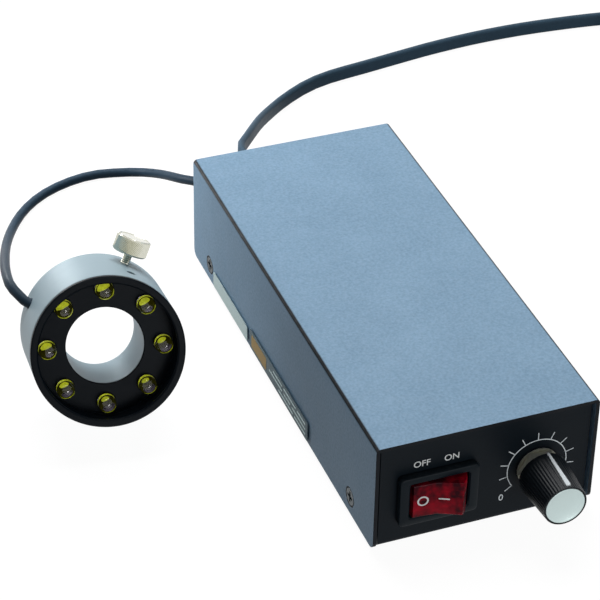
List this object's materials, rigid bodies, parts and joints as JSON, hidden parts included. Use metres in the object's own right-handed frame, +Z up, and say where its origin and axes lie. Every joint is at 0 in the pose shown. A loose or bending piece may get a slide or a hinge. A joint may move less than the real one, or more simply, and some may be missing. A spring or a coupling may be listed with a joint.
{
  "type": "microscope ring light",
  "caption": "Microscope ring light: LED ring head with a clamping thumb screw, dimmer box with an illuminated rocker switch and knob, head cable, and flat mains cord with its plug.",
  "frame": {"origin": "middle of the bounding box of the box and the head, on the bench surface", "axes": "+X to the right of the box's front panel, +Y from the front panel towards the rear panel, +Z up"},
  "size_m": [0.3107, 0.2421, 0.0472],
  "materials": {
    "grey_blue_paint": "fine textured satin",
    "black_paint": "satin",
    "black_gloss_plastic": "gloss",
    "soft_black_plastic": "satin",
    "black_rubber": "matte",
    "red_plastic": "translucent gloss",
    "grey_anodised": "satin anodised",
    "black_anodised": "satin anodised",
    "nickel": "polished",
    "steel": "zinc plated",
    "aluminium": "satin",
    "brass": "satin",
    "clear_resin": "clear gloss over a yellow lamp chip",
    "label_foil": "satin foil",
    "board": "satin",
    "white_board": "satin",
    "nylon": "satin",
    "winding_tape": "satin",
    "blue_sleeve": "satin"
  },
  "bodies": {
    "base": {"base_chassis": "black_paint", "top_cover": "grey_blue_paint", "cover_screw_1": "steel", "cover_screw_2": "steel", "cover_screw_3": "steel", "cover_screw_4": "steel", "foot_1": "black_rubber", "foot_2": "black_rubber", "foot_3": "black_rubber", "foot_4": "black_rubber", "rating_label": "label_foil", "switch_housing": "black_gloss_plastic", "switch_terminal_1": "brass", "switch_terminal_2": "brass", "switch_terminal_3": "brass", "pot_body": "steel", "pot_washer": "brass", "pot_nut": "brass", "circuit_board": "board", "board_spacer_1": "brass", "board_spacer_2": "brass", "board_spacer_3": "brass", "board_spacer_4": "brass", "board_screw_1": "steel", "board_screw_2": "steel", "board_screw_3": "steel", "board_screw_4": "steel", "transformer_core": "steel", "transformer_winding": "winding_tape", "smoothing_capacitor": "blue_sleeve", "head_connector": "nylon", "heat_sink": "aluminium", "regulator": "black_gloss_plastic", "mains_bushing": "soft_black_plastic", "head_cord_grommet": "black_rubber", "head_housing": "grey_anodised", "led_holder": "black_anodised", "led_1": "clear_resin", "led_2": "clear_resin", "led_3": "clear_resin", "led_4": "clear_resin", "led_5": "clear_resin", "led_6": "clear_resin", "led_7": "clear_resin", "led_8": "clear_resin", "led_board": "white_board", "grub_screw": "steel", "head_cord": "soft_black_plastic", "mains_cord": "soft_black_plastic", "mains_coil": "soft_black_plastic", "coil_tie": "black_rubber", "mains_plug": "soft_black_plastic", "plug_pin_1": "nickel", "plug_pin_2": "nickel"},
    "rocker": {"switch_rocker": "red_plastic"},
    "knob": {"pot_shaft": "steel", "dimmer_knob": "black_gloss_plastic", "knob_cap": "aluminium"},
    "clamp_tip": {"clamp_tip": "nylon"},
    "thumb_screw": {"thumb_screw": "nickel"}
  },
  "joints": [
    {"name": "rocker_tilt", "type": "hinge", "parent": "base", "child": "rocker", "pos_m": [0.02039, -0.06955, 0.01605], "axis": [0, 0, 1], "range_deg": [0, 30]},
    {"name": "dimmer_turn", "type": "hinge", "parent": "base", "child": "knob", "pos_m": [0.04779, -0.06945, 0.0165], "axis": [0, -1, 0], "range_deg": [-100, 150]},
    {"name": "clamp_slide", "type": "slide", "parent": "base", "child": "clamp_tip", "axis": [-0.4688, -0.2638, -0.843], "range_m": [-0.001, 0.0025]},
    {"name": "clamp_turn", "type": "hinge", "parent": "clamp_tip", "child": "thumb_screw", "pos_m": [-0.03149, 0.01969, 0.03812], "axis": [-0.4688, -0.2638, -0.843], "range_deg": [-720, 1800]}
  ],
  "couplings": [
    {"joint": "clamp_turn", "follows": "clamp_slide", "rad_per_m": 12566}
  ]
}
